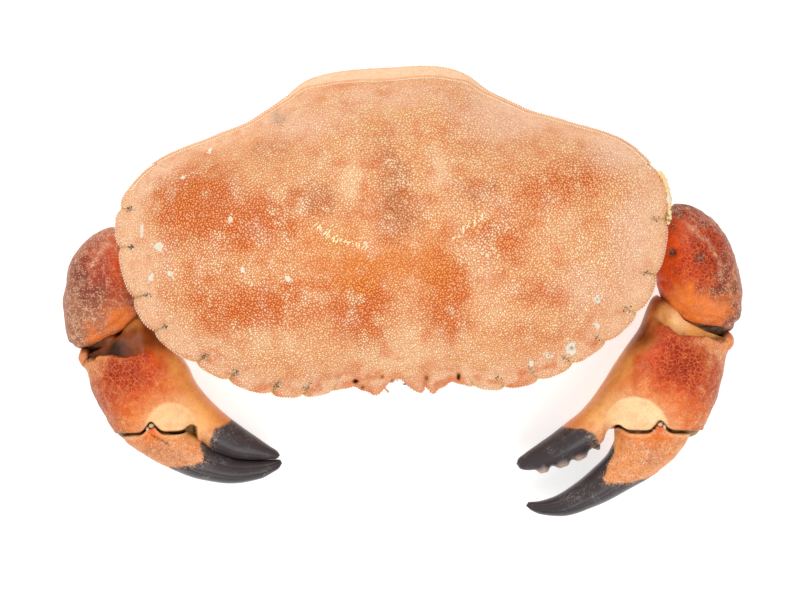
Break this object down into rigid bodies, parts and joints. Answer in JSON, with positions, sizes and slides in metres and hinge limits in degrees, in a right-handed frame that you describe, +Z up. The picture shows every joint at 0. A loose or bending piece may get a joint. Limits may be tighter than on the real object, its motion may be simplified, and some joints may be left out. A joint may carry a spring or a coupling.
{
  "type": "cooked crab",
  "caption": "Whole cooked edible crab lying belly down, domed shell with a pie-crust edge, black-tipped claws folded in front, one shut and one open.",
  "frame": {"origin": "on the flat underside of the tail flap, under the middle of the shell", "axes": "+X across the shell towards the open claw, +Y towards the crab's back edge, +Z up through the domed shell; the face and claws are towards -Y"},
  "size_m": [0.2048, 0.1367, 0.057],
  "materials": {
    "shell": "satin boiled shell, orange-brown blotches on peach pink under a close grain of pale granules",
    "claw": "satin to glossy boiled shell, brick red to orange with a fine cream network, cream by the hinge",
    "finger": "glossy, orange at the hinge and slate black to the tip, scuffed grey",
    "belly": "satin cream to tan shell",
    "leg": "satin boiled shell, brownish orange with pale joints",
    "eye": "glossy black on a pale stalk"
  },
  "bodies": {
    "root": {"shell": "shell", "breast": "belly", "tail_flap": "belly", "mouth_plate_left": "belly", "mouth_plate_right": "belly", "eye_left": "eye", "eye_right": "eye", "claw_arm_left": "claw", "claw_wrist_left": "claw", "claw_palm_left": "claw", "claw_finger_left": "finger", "claw_arm_right": "claw", "claw_wrist_right": "claw", "claw_palm_right": "claw", "claw_finger_right": "finger", "leg_1_upper_left": "leg", "leg_1_shin_left": "leg", "leg_1_toe_left": "leg", "leg_2_upper_left": "leg", "leg_2_shin_left": "leg", "leg_2_toe_left": "leg", "leg_3_upper_left": "leg", "leg_3_shin_left": "leg", "leg_3_toe_left": "leg", "leg_4_upper_left": "leg", "leg_4_shin_left": "leg", "leg_4_toe_left": "leg", "leg_1_upper_right": "leg", "leg_1_shin_right": "leg", "leg_1_toe_right": "leg", "leg_2_upper_right": "leg", "leg_2_shin_right": "leg", "leg_2_toe_right": "leg", "leg_3_upper_right": "leg", "leg_3_shin_right": "leg", "leg_3_toe_right": "leg", "leg_4_upper_right": "leg", "leg_4_shin_right": "leg", "leg_4_toe_right": "leg"}
  },
  "joints": []
}
